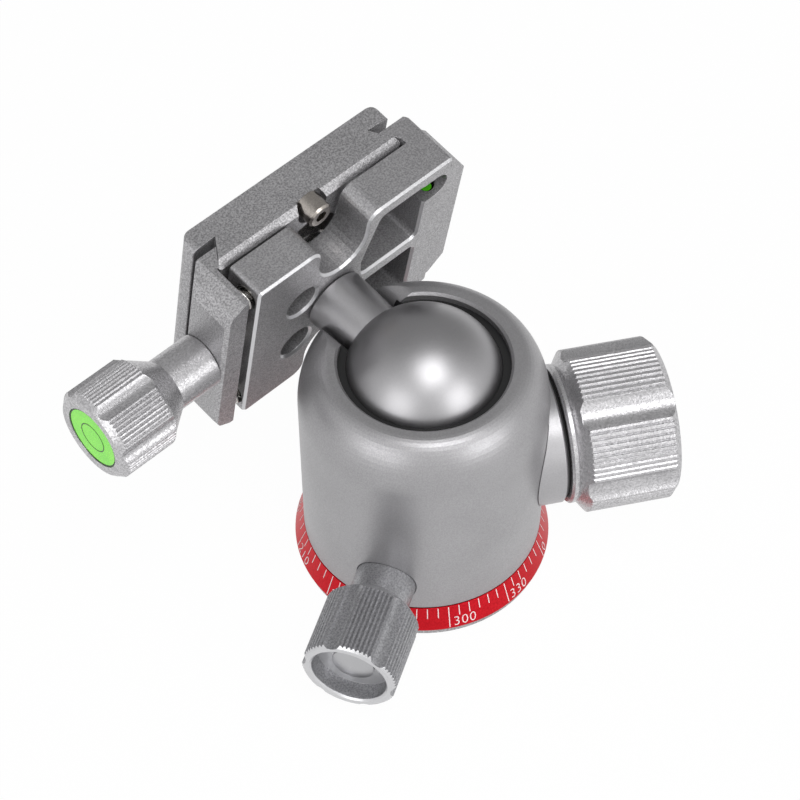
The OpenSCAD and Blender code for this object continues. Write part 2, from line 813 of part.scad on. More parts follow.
// Profile across the base: channel floor and fixed jaw, whose lip lies along the dovetail
module base_profile() {
    lip_run = (jaw_n - flank_n) * flank_run / flank_rise;
    flank = plate_right_w + side_gap;
    polygon([[-over, 0], [base_w + over, 0], [base_w + over, jaw_n - jaw_top_bevel - over],
        [base_w - jaw_top_bevel, jaw_n], [flank - lip_run, jaw_n], [flank, flank_n],
        [flank, floor_n], [-over, floor_n]]);
}

// Raised panel on the fixed jaw's outside, flush with the underside, its ends and top sloping
module side_panel() {
    hull() {
        translate([base_w - over, -panel_half_l, 0])
            cube([panel_out + over, 2 * panel_half_l, panel_top_n - panel_slope_n]);
        translate([base_w - over, -panel_half_l - panel_slope_l, 0])
            cube([over, 2 * (panel_half_l + panel_slope_l), panel_top_n]);
    }
}

module vial_slot() {
    round_w = vial_slot_end_w - vial_slot_half;
    translate([0, vial_slot_l, -over]) linear_extrude(floor_n + over) {
        translate([window_right_w - over, -vial_slot_half]) square([round_w - window_right_w + over,
            2 * vial_slot_half]);
        translate([round_w, 0]) circle(r = vial_slot_half);
    }
}

// Frame of the side vial: its Z runs along the fixed jaw from the slot's wall
module vial_place() {
    translate([vial_w, vial_slot_l + vial_slot_half, vial_n]) rotate([-90, 0, 0]) children();
}

module clamp_base() {
    color(silver) clamp_frame() difference() {
        union() {
            intersection() {
                sloped_bar(base_outline(), base_radii(), jaw_n + over, base_chamfer);
                translate([0, clamp_l, 0]) rotate([90, 0, 0]) linear_extrude(2 * clamp_l) base_profile();
            }
            side_panel();
        }
        for (side = [-1, 1])
            sloped_cut(window_outline(side), [for (i = [0:5]) window_r], floor_n + over, base_chamfer);
        vial_slot();
        vial_place() translate([0, 0, -over]) cylinder(r = vial_r + run_gap, h = vial_length + over + run_gap);
        for (side = [-1, 1]) translate([hole_w, hole_mid_l + side * hole_spacing / 2, 0])
            rotate_extrude() polygon([[0, -over], [hole_r + hole_chamfer + over, -over],
                [hole_r, hole_chamfer], [hole_r, hole_step_n], [hole_step_r, hole_step_n],
                [hole_step_r, floor_n + over], [0, floor_n + over]]);
        at_stem() {
            translate([0, 0, -over]) cylinder(r = bolt_r + seat_gap, h = far);
            bolt_cone(seat_gap);
            translate([0, 0, floor_n - bolt_sink]) cylinder(r = bolt_head_r + seat_gap, h = far);
        }
        translate([-over, 0, knob_n]) rotate([0, 90, 0]) cylinder(r = clamp_spindle_r + run_gap,
            h = clamp_spindle_in + over + side_gap);
        for (side = [-1, 1]) translate([0, side * guide_l, guide_n]) rotate([0, 90, 0]) {
            translate([0, 0, -over]) cylinder(r = guide_r + seat_gap, h = guide_in + over + seat_gap);
            translate([0, 0, -over]) cylinder(r = pocket_r, h = pocket_in + over);
        }
    }
}

// Small level vial, glued into its bore
module side_vial() {
    color([0.85, 0.95, 0.85, 0.5]) clamp_frame() vial_place() difference() {
        cylinder(r = vial_r, h = vial_length);
        translate([0, 0, vial_plug]) cylinder(r = vial_r - vial_wall, h = vial_length - 2 * vial_plug);
    }
}

module side_vial_fluid() {
    color(green) clamp_frame() vial_place() translate([0, 0, vial_plug + seat_gap])
        cylinder(r = vial_r - vial_wall - seat_gap, h = vial_length - 2 * vial_plug - 2 * seat_gap);
}

module guide_places() {
    for (side = [-1, 1]) translate([0, side * guide_l, guide_n]) rotate([0, 90, 0]) children();
}

module jaw_guide_pins() {
    color(steel) clamp_frame() guide_places() translate([0, 0, jaw_in_w - guide_out])
        cylinder(r = guide_r, h = guide_in + guide_out - jaw_in_w);
}

// Coil spring from z = 0 to z = h: the wire's ends run straight along the axis for one diameter
function spring_path(h) = let (d = 2 * wire_r, steps = spring_turns * rings_per_turn)
    concat([[spring_r, 0, 0], [spring_r, 0, d / 2]],
        [for (i = [0:steps]) [spring_r * cos(360 * i / rings_per_turn),
            spring_r * sin(360 * i / rings_per_turn), d + wire_r + (h - 3 * d) * i / steps]],
        [[spring_r, 0, h - d / 2], [spring_r, 0, h]]);

// Ring of the wire round a point of its path, square to the path, its first side turned outwards
function wire_ring(path, i) = let (n = len(path), p = path[i],
        t = i < 2 || i > n - 3 ? [0, 0, 1] : unit(path[i + 1] - path[i - 1]),
        outward = unit([p[0], p[1], 0]), u = unit(outward - (outward * t) * t), v = cross(t, u))
    [for (k = [0:wire_sides - 1]) p + wire_r * (u * cos(360 * k / wire_sides) + v * sin(360 * k / wire_sides))];

module coil_spring(h) {
    path = spring_path(h);
    n = len(path);
    s = wire_sides;
    polyhedron(points = [for (i = [0:n - 1]) each wire_ring(path, i)],
        faces = concat([[for (k = [0:s - 1]) k]], [[for (k = [0:s - 1]) n * s - 1 - k]],
            [for (i = [0:n - 2], k = [0:s - 1]) [i * s + k, (i + 1) * s + k, (i + 1) * s + (k + 1) % s]],
            [for (i = [0:n - 2], k = [0:s - 1]) [i * s + k, (i + 1) * s + (k + 1) % s, i * s + (k + 1) % s]]));
}

spring_l = pocket_in + jaw_gap + pocket_out - 2 * seat_gap;
// Least distance between points of the wire that lie half a turn or more apart, less its diameter
spring_gap = let (p = spring_path(spring_l), n = len(p))
    min([for (i = [0:n - 1], j = [0:n - 1]) if (j - i >= rings_per_turn / 2) norm(p[i] - p[j])]) - 2 * wire_r;
echo(spring_gap = spring_gap);

module jaw_springs() {
    color(bright) clamp_frame() guide_places() translate([0, 0, jaw_in_w - pocket_out + seat_gap])
        coil_spring(spring_l);
}

module jaw() {
    e = clamp_l / 2;
    lip_run = (jaw_n - flank_n) * flank_run / flank_rise;
    flank = plate_left_w - side_gap;
    color(silver) clamp_frame() difference() {
        intersection() {
            translate([0, clamp_l, 0]) rotate([90, 0, 0]) linear_extrude(2 * clamp_l) polygon([
                [jaw_in_w - jaw_foot, 0], [jaw_in_w, jaw_foot], [jaw_in_w, flank_n - jaw_foot],
                [flank, flank_n], [flank + lip_run, jaw_n], [jaw_out_w + jaw_top_in, jaw_n],
                [jaw_out_w, jaw_slope_n], [jaw_out_w, 2 * jaw_foot], [jaw_out_w + 2 * jaw_foot, 0]]);
            translate([0, 0, -over]) linear_extrude(far) polygon(rounded([
                [jaw_out_w, -e + jaw_corner_l], [jaw_out_w + jaw_mid_w, -e + jaw_mid_l],
                [jaw_out_w + jaw_corner_w, -e], [jaw_in_w, -e], [jaw_in_w + far, -e],
                [jaw_in_w + far, e], [jaw_in_w, e], [jaw_out_w + jaw_corner_w, e],
                [jaw_out_w + jaw_mid_w, e - jaw_mid_l], [jaw_out_w, e - jaw_corner_l]],
                [0, corner_r, 0, 0, 0, 0, 0, 0, corner_r, 0]));
        }
        translate([0, 0, knob_n]) rotate([0, -90, 0]) cylinder(r = clamp_spindle_r + run_gap, h = far);
        guide_places() translate([0, 0, jaw_in_w - guide_out - side_gap]) cylinder(r = guide_r + run_gap,
            h = far);
        guide_places() translate([0, 0, jaw_in_w - pocket_out]) cylinder(r = pocket_r, h = far);
    }
}

module clamp_knob() {
    neck = clamp_knob_gap + clamp_neck_l;
    cone = neck + clamp_cone_l;
    head = cone + clamp_head_r - clamp_cone_r;
    end = clamp_knob_gap + clamp_knob_l;
    color(bright) clamp_knob_axis() rotate([0, 0, clamp_turn]) difference() {
        fluted_knob(clamp_head_r, small_ridges, neck, end, [
            [0, clamp_knob_gap], [clamp_neck_r, clamp_knob_gap], [clamp_neck_r, neck],
            [clamp_cone_r, cone], [clamp_head_r, head], [clamp_head_r, end - clamp_end_bevel],
            [clamp_head_r - clamp_end_bevel, end], [0, end]]);
        cylinder(r = clamp_spindle_r + seat_gap, h = cone);
        translate([0, 0, end - level_t - level_sink]) cylinder(r = level_r + run_gap, h = far);
    }
}

module clamp_spindle() {
    inside = clamp_spindle_in - jaw_out_w;
    color(steel) clamp_knob_axis() translate([0, 0, -inside])
        chamfered_bar(clamp_spindle_r, inside + clamp_knob_gap + clamp_neck_l + clamp_cone_l - seat_gap,
            edge_chamfer);
}

module level_place() {
    clamp_knob_axis() translate([0, 0, clamp_knob_gap + clamp_knob_l - level_t - level_sink]) children();
}

module level_cup() {
    color(dark) level_place() translate([0, 0, seat_gap]) difference() {
        cylinder(r = level_r, h = level_t - lens_t - seat_gap);
        translate([0, 0, level_floor]) cylinder(r = level_r - level_wall, h = far);
    }
}

module level_fluid() {
    color(green) level_place() translate([0, 0, 2 * seat_gap + level_floor])
        cylinder(r = level_r - level_wall - seat_gap, h = level_t - lens_t - level_floor - 3 * seat_gap);
}

module level_lens() {
    color([0.8, 0.95, 0.8, 0.4]) level_place() translate([0, 0, level_t - lens_t + seat_gap])
        cylinder(r = level_r, h = lens_t - seat_gap);
}

// Camera plate
module plate_profile() {
    h = plate_w / 2;
    d = dovetail_w / 2;
    root = d - flank_run;
    polygon(rounded([[-d + flank_n - plate_n, plate_n], [d - flank_n + plate_n, plate_n], [d, flank_n],
        [root, flank_n + flank_rise], [h, flange_n], [h, plate_top_n], [-h, plate_top_n],
        [-h, flange_n], [-root, flank_n + flank_rise], [-d, flank_n]],
        [0, 0, 0, 0, edge_chamfer, plate_corner_r, plate_corner_r, edge_chamfer, 0, 0]));
}

// Outline of the plate seen from its side, its lower end edges bevelled
module plate_side() {
    e = plate_l / 2;
    polygon([[-e + plate_end_bevel, plate_n], [e - plate_end_bevel, plate_n], [e, plate_n + plate_end_bevel],
        [e, plate_top_n], [-e, plate_top_n], [-e, plate_n + plate_end_bevel]]);
}

module at_plate() { clamp_frame() translate([plate_mid_w, 0, 0]) children(); }

module plate_slot(half_w, low, high) {
    translate([0, 0, low]) linear_extrude(high - low) {
        square([2 * half_w, 2 * slot_half_l], center = true);
        for (side = [-1, 1]) translate([0, side * slot_half_l]) circle(r = half_w);
    }
}

module pad_places() {
    for (side = [-1, 1]) translate([side * (plate_w / 2 - pad_inset_w - pad_w / 2), 0, 0]) children();
}

module safety_places() {
    for (side = [-1, 1]) translate([safety_w - plate_mid_w, side * (plate_l / 2 - safety_in), 0]) children();
}

module qr_plate() {
    pad_l = plate_l - 2 * pad_end;
    color(silver) at_plate() difference() {
        intersection() {
            translate([0, plate_l, 0]) rotate([90, 0, 0]) linear_extrude(2 * plate_l) plate_profile();
            translate([0, 0, -over]) linear_extrude(far) polygon(rounded([[-plate_w / 2, -plate_l / 2],
                [plate_w / 2, -plate_l / 2], [plate_w / 2, plate_l / 2], [-plate_w / 2, plate_l / 2]],
                [for (i = [0:3]) plate_edge_r]));
            translate([-far, 0, 0]) rotate([90, 0, 90]) linear_extrude(2 * far) plate_side();
        }
        plate_slot(screw_head_r + side_gap, -over, plate_n + screw_head_t + 2 * screw_room);
        plate_slot(slot_half_w, -over, far);
        plate_slot(clip_pocket_half_w, plate_top_n - clip_room, far);
        pad_places() translate([-pad_w / 2, -pad_l / 2, plate_top_n - pad_deep]) cube([pad_w, pad_l, far]);
        safety_places() {
            cylinder(r = safety_pocket_r, h = safety_seat_n);
            cylinder(r = safety_screw_r + seat_gap, h = safety_tip_n + edge_chamfer);
        }
    }
}

module plate_pads() {
    pad_l = plate_l - 2 * pad_end;
    color(dark) at_plate() pad_places()
        translate([seat_gap - pad_w / 2, seat_gap - pad_l / 2, plate_top_n - pad_deep])
            cube([pad_w - 2 * seat_gap, pad_l - 2 * seat_gap, pad_deep + pad_out]);
}

module safety_screws() {
    head_t = safety_seat_n - safety_head_n;
    color(steel) at_plate() safety_places() translate([0, 0, safety_head_n]) difference() {
        union() {
            rotate_extrude() polygon([[0, 0], [safety_head_r - safety_bevel, 0],
                [safety_head_r, safety_bevel], [safety_head_r, head_t], [0, head_t]]);
            cylinder(r = safety_screw_r, h = safety_tip_n - safety_head_n);
        }
        mirror([0, 0, 1]) hex_socket(safety_head_r, head_t);
    }
}

module camera_screw() {
    head = plate_n + screw_room;
    top = plate_top_n + camera_screw_out;
    groove = plate_top_n - clip_room + side_gap;
    color(steel) at_plate() difference() {
        union() {
            translate([0, 0, head]) chamfered_bar(screw_head_r, screw_head_t, edge_chamfer);
            translate([0, 0, head]) cylinder(r = camera_screw_r, h = groove - head);
            translate([0, 0, head]) cylinder(r = clip_groove_r, h = top - head - screw_tip_chamfer);
            translate([0, 0, groove + clip_t]) cylinder(r = camera_screw_r,
                h = top - groove - clip_t - screw_tip_chamfer);
            translate([0, 0, top - screw_tip_chamfer]) cylinder(r1 = camera_screw_r,
                r2 = camera_screw_r - screw_tip_chamfer, h = screw_tip_chamfer);
        }
        translate([-screw_head_r - over, -screw_coin_w / 2, head - over])
            cube([2 * (screw_head_r + over), screw_coin_w, screw_coin_n + over]);
    }
}

// Open ring round the screw's groove
module camera_screw_clip() {
    groove = plate_top_n - clip_room + side_gap;
    color(dark) at_plate() translate([0, 0, groove + seat_gap]) difference() {
        ring(clip_groove_r + seat_gap, clip_r, clip_t - 2 * seat_gap);
        translate([0, -clip_groove_r / 2, -over]) cube([far, clip_groove_r, far]);
    }
}

base_plate();
scale_ring();
lower_slip_washer();
upper_slip_washer();
pan_disc();
pan_disc_screws();
housing();
bearing_ring();
ball_seat_ring();
wedge_block();
knob_collar();
main_knob_oring();
ball_cup();
wedge_pin();
main_knob();
main_spindle();
main_knob_screw();
main_knob_cap();
pan_brake_shoe();
pan_knob();
pan_spindle();
ball_and_stem();
clamp_bolt();
clamp_base();
side_vial();
side_vial_fluid();
jaw_guide_pins();
jaw_springs();
jaw();
clamp_knob();
clamp_spindle();
level_cup();
level_fluid();
level_lens();
qr_plate();
plate_pads();
safety_screws();
camera_screw();
camera_screw_clip();
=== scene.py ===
"""Small tripod ball head, lying ready on a white table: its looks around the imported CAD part."""

import math

import bpy
import numpy as np
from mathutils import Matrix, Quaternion, Vector


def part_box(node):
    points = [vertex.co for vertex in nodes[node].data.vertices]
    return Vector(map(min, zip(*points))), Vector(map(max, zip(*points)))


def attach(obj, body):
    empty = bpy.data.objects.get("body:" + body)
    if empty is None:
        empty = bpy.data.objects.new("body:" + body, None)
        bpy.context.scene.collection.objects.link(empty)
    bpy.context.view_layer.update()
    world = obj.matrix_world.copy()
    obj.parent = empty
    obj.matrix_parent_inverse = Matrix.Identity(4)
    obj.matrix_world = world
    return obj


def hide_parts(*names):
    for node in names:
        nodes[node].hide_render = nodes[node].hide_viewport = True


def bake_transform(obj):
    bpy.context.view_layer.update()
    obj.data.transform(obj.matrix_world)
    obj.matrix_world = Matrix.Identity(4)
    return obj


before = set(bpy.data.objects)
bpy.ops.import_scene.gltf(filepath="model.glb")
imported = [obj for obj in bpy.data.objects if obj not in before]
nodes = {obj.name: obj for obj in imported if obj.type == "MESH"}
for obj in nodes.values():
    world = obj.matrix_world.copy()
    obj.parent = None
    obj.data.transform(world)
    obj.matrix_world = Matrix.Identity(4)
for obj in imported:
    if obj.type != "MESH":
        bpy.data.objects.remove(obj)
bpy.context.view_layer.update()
scene = bpy.context.scene
scene.view_settings.view_transform = "Standard"

# Camera: it looks down at the head from its left front through a long lens.
# Place, direction and lens come from the measured ellipses of the dial and the ball.
camera_place = (-0.1837, -0.1829, 0.36285)
camera_heading = Vector((0.4333, 0.4440, -0.7843))
camera_roll = Quaternion((0, 0, 1), math.radians(0.24))
camera = bpy.data.objects.new("camera", bpy.data.cameras.new("camera"))
scene.collection.objects.link(camera)
scene.camera = camera
camera.location = camera_place
camera.rotation_mode = "QUATERNION"
camera.rotation_quaternion = camera_heading.to_track_quat("-Z", "Y") @ camera_roll
camera.data.sensor_width = 36
camera.data.lens = 120.28
camera.data.clip_start, camera.data.clip_end = 0.01, 20


# Table: white seamless paper, which is matt. Rays that show it see it nearly evenly white,
# and the small rest of plain paper in it keeps a faint shadow of the head.
def linear(code):
    """sRGB hex code to linear colour: c/12.92 below 0.04045, else ((c + 0.055)/1.055)^2.4."""
    parts = [int(code[i:i + 2], 16) / 255 for i in (1, 3, 5)]
    return tuple(c / 12.92 if c <= 0.04045 else ((c + 0.055) / 1.055) ** 2.4 for c in parts) + (1.0,)


def add(tree, kind, inputs=None, **settings):
    """Adds one node, sets its settings, and sets or links its inputs."""
    made = tree.nodes.new(kind)
    for name, value in settings.items():
        setattr(made, name, value)
    for name, value in (inputs or {}).items():
        if isinstance(value, bpy.types.NodeSocket):
            tree.links.new(value, made.inputs[name])
        else:
            made.inputs[name].default_value = value
    return made


def new_material(name):
    """An empty node material with its output node."""
    made = bpy.data.materials.new(name)
    made.use_nodes = True
    made.node_tree.nodes.clear()
    return made, made.node_tree, made.node_tree.nodes.new("ShaderNodeOutputMaterial")


def mesh_piece(name, points, faces, smooth=True):
    """A mesh object at the origin from arrays of points (metres) and faces."""
    data = bpy.data.meshes.new(name)
    data.from_pydata([tuple(p) for p in np.asarray(points, float)], [],
                     [tuple(int(i) for i in f) for f in faces])
    data.polygons.foreach_set("use_smooth", [smooth] * len(data.polygons))
    data.update()
    made = bpy.data.objects.new(name, data)
    scene.collection.objects.link(made)
    return made


def showing_rays(tree, paths):
    """1 for the rays that show a surface, which are camera, glossy and transmission rays, else 0."""
    seen = paths.outputs["Is Camera Ray"]
    for ray in ("Is Glossy Ray", "Is Transmission Ray"):
        seen = add(tree, "ShaderNodeMath", {0: seen, 1: paths.outputs[ray]}, operation="MAXIMUM").outputs[0]
    return seen


table_half = 3
table_corners = [(-table_half, -table_half, 0), (table_half, -table_half, 0),
                 (table_half, table_half, 0), (-table_half, table_half, 0)]
white_share = 0.975
table = mesh_piece("table", table_corners, [(0, 1, 2, 3)], smooth=False)
table_white, tree, out = new_material("table_white")
paths = add(tree, "ShaderNodeLightPath")
share = add(tree, "ShaderNodeMath", {0: showing_rays(tree, paths), 1: white_share}, operation="MULTIPLY")
paper = add(tree, "ShaderNodeBsdfDiffuse", {"Color": linear("#f6f6f6")})
glow = add(tree, "ShaderNodeEmission", {"Color": linear("#ffffff"), "Strength": 1.0})
mixed = add(tree, "ShaderNodeMixShader", {0: share.outputs[0], 1: paper.outputs[0], 2: glow.outputs[0]})
tree.links.new(mixed.outputs[0], out.inputs["Surface"])
table.data.materials.append(table_white)

# Room and lamps: the camera sees the room as white, and reflections see it as white with a
# dark far upper side. It lights the head dimly. Three soft boxes do the rest, one overhead,
# one at the left and one in front.
dark_side = (0.5, 0.5, 0.707)
dark_level = 0.42
room_light = 0.55
world = bpy.data.worlds.new("room")
scene.world = world
world.use_nodes = True
tree = world.node_tree
tree.nodes.clear()
paths = add(tree, "ShaderNodeLightPath")
heading = add(tree, "ShaderNodeTexCoord")
toward = add(tree, "ShaderNodeVectorMath", {0: heading.outputs["Generated"], 1: dark_side},
             operation="DOT_PRODUCT")
ceiling = add(tree, "ShaderNodeMapRange", {"Value": toward.outputs["Value"], "From Min": 0.15,
                                           "From Max": 0.75, "To Min": 1.0, "To Max": dark_level})
level = add(tree, "ShaderNodeMapRange", {"Value": showing_rays(tree, paths), "From Min": 0.0,
                                         "From Max": 1.0, "To Min": room_light, "To Max": 1.0})
strength = add(tree, "ShaderNodeMath", {0: level.outputs[0], 1: ceiling.outputs[0]}, operation="MULTIPLY")
strength = add(tree, "ShaderNodeMath", {0: strength.outputs[0], 1: paths.outputs["Is Camera Ray"]},
               operation="MAXIMUM")
sky = add(tree, "ShaderNodeBackground", {"Color": linear("#ffffff"), "Strength": strength.outputs[0]})
room_out = tree.nodes.new("ShaderNodeOutputWorld")
tree.links.new(sky.outputs[0], room_out.inputs["Surface"])

lamp_target = Vector((0, 0, 0.03))


def soft_box(name, place, size, watts):
    """Square area lamp at a place in metres that faces the middle of the head."""
    lamp = bpy.data.lights.new(name, "AREA")
    lamp.size, lamp.energy = size, watts
    made = bpy.data.objects.new(name, lamp)
    made.location = place
    made.rotation_mode = "QUATERNION"
    made.rotation_quaternion = (lamp_target - Vector(place)).to_track_quat("-Z", "Y")
    made.visible_camera = False
    scene.collection.objects.link(made)


soft_box("top_box", place=(-0.10, -0.31, 0.77), size=0.46, watts=3.0)
soft_box("left_box", place=(-0.76, -0.14, 0.26), size=0.50, watts=1.5)
soft_box("front_box", place=(0.08, -0.76, 0.27), size=0.46, watts=1.9)


# Base plate: aluminium, turned, blasted with fine beads and anodised silver grey, which gives
# a soft sheen whose grain sparkles point by point. Pits of such beads are about 0.1 mm wide
# and a pixel of the render spans 0.16 mm, so the grain is drawn two to three times as coarse.
noise_low, noise_high = 0.3, 0.7  # nearly all of a noise lies between these


def shades(code, *factors):
    """The linear colour of a hex code times each factor, no part above 1."""
    base = np.array(linear(code)[:3])
    return [tuple(np.clip(base * factor, 0, 1)) + (1,) for factor in factors]


def mottled(tree, size_mm, colours, stops=(0, 1), **noise):
    """Noise of one size in mm on Object coordinates, and a ramp of two colours on it."""
    place = add(tree, "ShaderNodeTexCoord")
    grain = add(tree, "ShaderNodeTexNoise", {"Vector": place.outputs["Object"],
                                             "Scale": 1000 / size_mm, **noise})
    ramp = add(tree, "ShaderNodeValToRGB", {"Fac": grain.outputs["Fac"]})
    for stop, position, colour in zip(ramp.color_ramp.elements, stops, colours):
        stop.position, stop.color = position, colour
    return grain.outputs["Fac"], ramp.outputs["Color"]


def blasted_aluminium(name, colour, roughness, grain_mm, sparkle, bump_mm,
                      cut_axis=None, cut_at=0.7071, cut_width=0.035):
    """Metal with grain of one size in colour, roughness and height, its edges softened.

    A wide cloud shades it a little, as blasting by hand does. With cut_axis, faces whose
    normal has the cosine cut_at to that axis, give or take cut_width, are bright as machined
    edges are. The cosine of 45 degrees is 0.7071.
    """
    edge_mm, cloud_mm, rough_spread, cut_blur = 0.12, 9, 0.06, 0.015
    made, tree, out = new_material(name)
    place = add(tree, "ShaderNodeTexCoord")
    grain, flecks = mottled(tree, grain_mm, shades(colour, 1 - sparkle, 1 + sparkle), (0.38, 0.64),
                            Detail=2.0, Roughness=0.6)
    cloud = add(tree, "ShaderNodeTexNoise", {"Vector": place.outputs["Object"],
                                             "Scale": 1000 / cloud_mm, "Detail": 1.0})
    tone = add(tree, "ShaderNodeMapRange", {"Value": cloud.outputs["Fac"], "From Min": noise_low,
                                            "From Max": noise_high, "To Min": 0.96, "To Max": 1.04})
    shade = add(tree, "ShaderNodeVectorMath", {0: flecks, "Scale": tone.outputs[0]}, operation="SCALE")
    colour_out = shade.outputs["Vector"]
    rough = add(tree, "ShaderNodeMapRange", {"Value": grain, "From Min": noise_low, "From Max": noise_high,
                                             "To Min": roughness + rough_spread,
                                             "To Max": roughness - rough_spread})
    rough_out = rough.outputs[0]
    if cut_axis is not None:
        across = add(tree, "ShaderNodeVectorMath", {0: place.outputs["Normal"], 1: cut_axis},
                     operation="DOT_PRODUCT")
        size = add(tree, "ShaderNodeMath", {0: across.outputs["Value"]}, operation="ABSOLUTE")
        offset = add(tree, "ShaderNodeMath", {0: size.outputs[0], 1: cut_at}, operation="SUBTRACT")
        far = add(tree, "ShaderNodeMath", {0: offset.outputs[0]}, operation="ABSOLUTE")
        cut = add(tree, "ShaderNodeMapRange", {"Value": far.outputs[0], "From Min": cut_width - cut_blur,
                                               "From Max": cut_width + cut_blur,
                                               "To Min": 1.0, "To Max": 0.0})
        # A Mix node's two colours are its inputs 6 and 7, and its two numbers are 2 and 3.
        bright = add(tree, "ShaderNodeMix", {"Factor": cut.outputs[0], 6: colour_out,
                                             7: linear("#c6c6c8")}, data_type="RGBA")
        colour_out = bright.outputs[2]
        smooth_cut = add(tree, "ShaderNodeMix", {"Factor": cut.outputs[0], 2: rough_out, 3: 0.28},
                         data_type="FLOAT")
        rough_out = smooth_cut.outputs[0]
    edge = add(tree, "ShaderNodeBevel", {"Radius": edge_mm / 1000}, samples=4)
    bumps = add(tree, "ShaderNodeBump", {"Height": grain, "Distance": bump_mm / 1000,
                                         "Strength": 1.0, "Normal": edge.outputs[0]})
    metal = add(tree, "ShaderNodeBsdfPrincipled", {"Base Color": colour_out, "Metallic": 0.72,
                                                   "Roughness": rough_out, "Normal": bumps.outputs[0]})
    tree.links.new(metal.outputs[0], out.inputs["Surface"])
    return made


def finish(material, *names):
    """Gives CAD nodes one material."""
    for n in names:
        data = nodes[n].data
        data.materials.clear()
        data.materials.append(material)


plate_finish = blasted_aluminium("plate_blasted", "#a4a3a5", roughness=0.38, grain_mm=0.28,
                                 sparkle=0.34, bump_mm=0.036)
finish(plate_finish, "base_plate")


# Degree dial: a turned aluminium ring, anodised and dyed deep red, which colours what it
# reflects. Its white scale is laser marked: a mark every 5 degrees, and every 30 degrees a
# long one with its number beside it, read from outside.
def anodised_red():
    """Dyed oxide on bright metal, in red and gloss uneven by a fine grain, its edges softened.

    Etching before the dye leaves a grain of under 0.1 mm. It is drawn at 0.3 mm so that it shows.
    """
    grain_mm, edge_mm = 0.3, 0.12
    made, tree, out = new_material("dial_red_anodised")
    grain, tint = mottled(tree, grain_mm, (linear("#b50e1b"), linear("#cb1725")), (noise_low, noise_high),
                          Detail=2.0)
    rough = add(tree, "ShaderNodeMapRange", {"Value": grain, "From Min": noise_low, "From Max": noise_high,
                                             "To Min": 0.30, "To Max": 0.40})
    edge = add(tree, "ShaderNodeBevel", {"Radius": edge_mm / 1000}, samples=4)
    red = add(tree, "ShaderNodeBsdfPrincipled", {"Base Color": tint, "Metallic": 0.85,
                                                 "Roughness": rough.outputs[0], "Normal": edge.outputs[0]})
    tree.links.new(red.outputs[0], out.inputs["Surface"])
    return made


finish(anodised_red(), "scale_ring")

# Radius and height, in mm, of the top and the foot of the dial's slope
dial_top = np.array([19.5, 5.85])
dial_edge = np.array([21.0, 2.0])
dial_slope = np.linalg.norm(dial_edge - dial_top)
dial_down = (dial_edge - dial_top) / dial_slope
dial_out = np.array([-dial_down[1], dial_down[0]])
dial_zero = -61.9
mark_lift = 0.015


def on_dial(azimuth, down):
    """Point of the dial's cone, in metres: azimuth in degrees, down in mm from its top edge."""
    a = np.radians(azimuth)
    r = dial_top[0] + dial_down[0] * down + dial_out[0] * mark_lift
    z = dial_top[1] + dial_down[1] * down + dial_out[1] * mark_lift
    return np.stack([r * np.cos(a), r * np.sin(a), z + 0 * r], axis=-1) / 1000


mark_count, mark_step, long_every = 72, 5, 6
mark_start, long_end, short_end = 0.12, 4.0, 1.95
mark_half = math.degrees(0.08 / 20)  # 0.08 mm at a radius of 20 mm
marks = np.arange(mark_count)
mark_azimuths = dial_zero + mark_step * marks
mark_ends = np.where(marks % long_every == 0, long_end, short_end)
across = np.array([-1, 1, 1, -1])
along = np.array([0, 0, 1, 1])
mark_points = on_dial(mark_azimuths[:, None] + across * mark_half,
                      mark_start + along * (mark_ends[:, None] - mark_start)).reshape(-1, 3)
mark_faces = np.arange(4 * mark_count).reshape(mark_count, 4)[:, ::-1]
dial_marks = mesh_piece("dial_marks", mark_points, mark_faces, smooth=False)

number_size, number_thinner, number_spacing = 2.45, -0.028, 1.12
number_foot, number_turn = 0.28, 1.7
number_points, number_faces = [], []
for degrees in range(0, 360, mark_step * long_every):
    text = bpy.data.curves.new("dial_number", "FONT")
    text.body, text.size, text.offset = str(degrees), number_size, number_thinner
    text.space_character = number_spacing
    holder = bpy.data.objects.new("dial_number", text)
    scene.collection.objects.link(holder)
    shape = holder.evaluated_get(bpy.context.evaluated_depsgraph_get()).to_mesh()
    flat = np.array([v.co[:] for v in shape.vertices])
    down = dial_slope - number_foot - flat[:, 1]
    radius = dial_top[0] + dial_down[0] * down
    number_faces += [tuple(i + len(number_points) for i in p.vertices) for p in shape.polygons]
    number_points += list(on_dial(degrees + dial_zero + number_turn + np.degrees(flat[:, 0] / radius), down))
    holder.to_mesh_clear()
    bpy.data.objects.remove(holder)
dial_numbers = mesh_piece("dial_numbers", number_points, number_faces, smooth=False)

# Laser marking bares a matt, slightly patchy white. Its spots of under 0.1 mm are drawn at
# 0.2 mm so that they show.
laser_spot_mm = 0.2
mark_white, tree, out = new_material("laser_white")
_, whites = mottled(tree, laser_spot_mm, (linear("#d9b9bb"), linear("#fbf1f1")))
paint = add(tree, "ShaderNodeBsdfPrincipled", {"Base Color": whites, "Roughness": 0.6})
tree.links.new(paint.outputs[0], out.inputs["Surface"])
for piece in (dial_marks, dial_numbers):
    piece.data.materials.append(mark_white)
    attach(piece, "base")


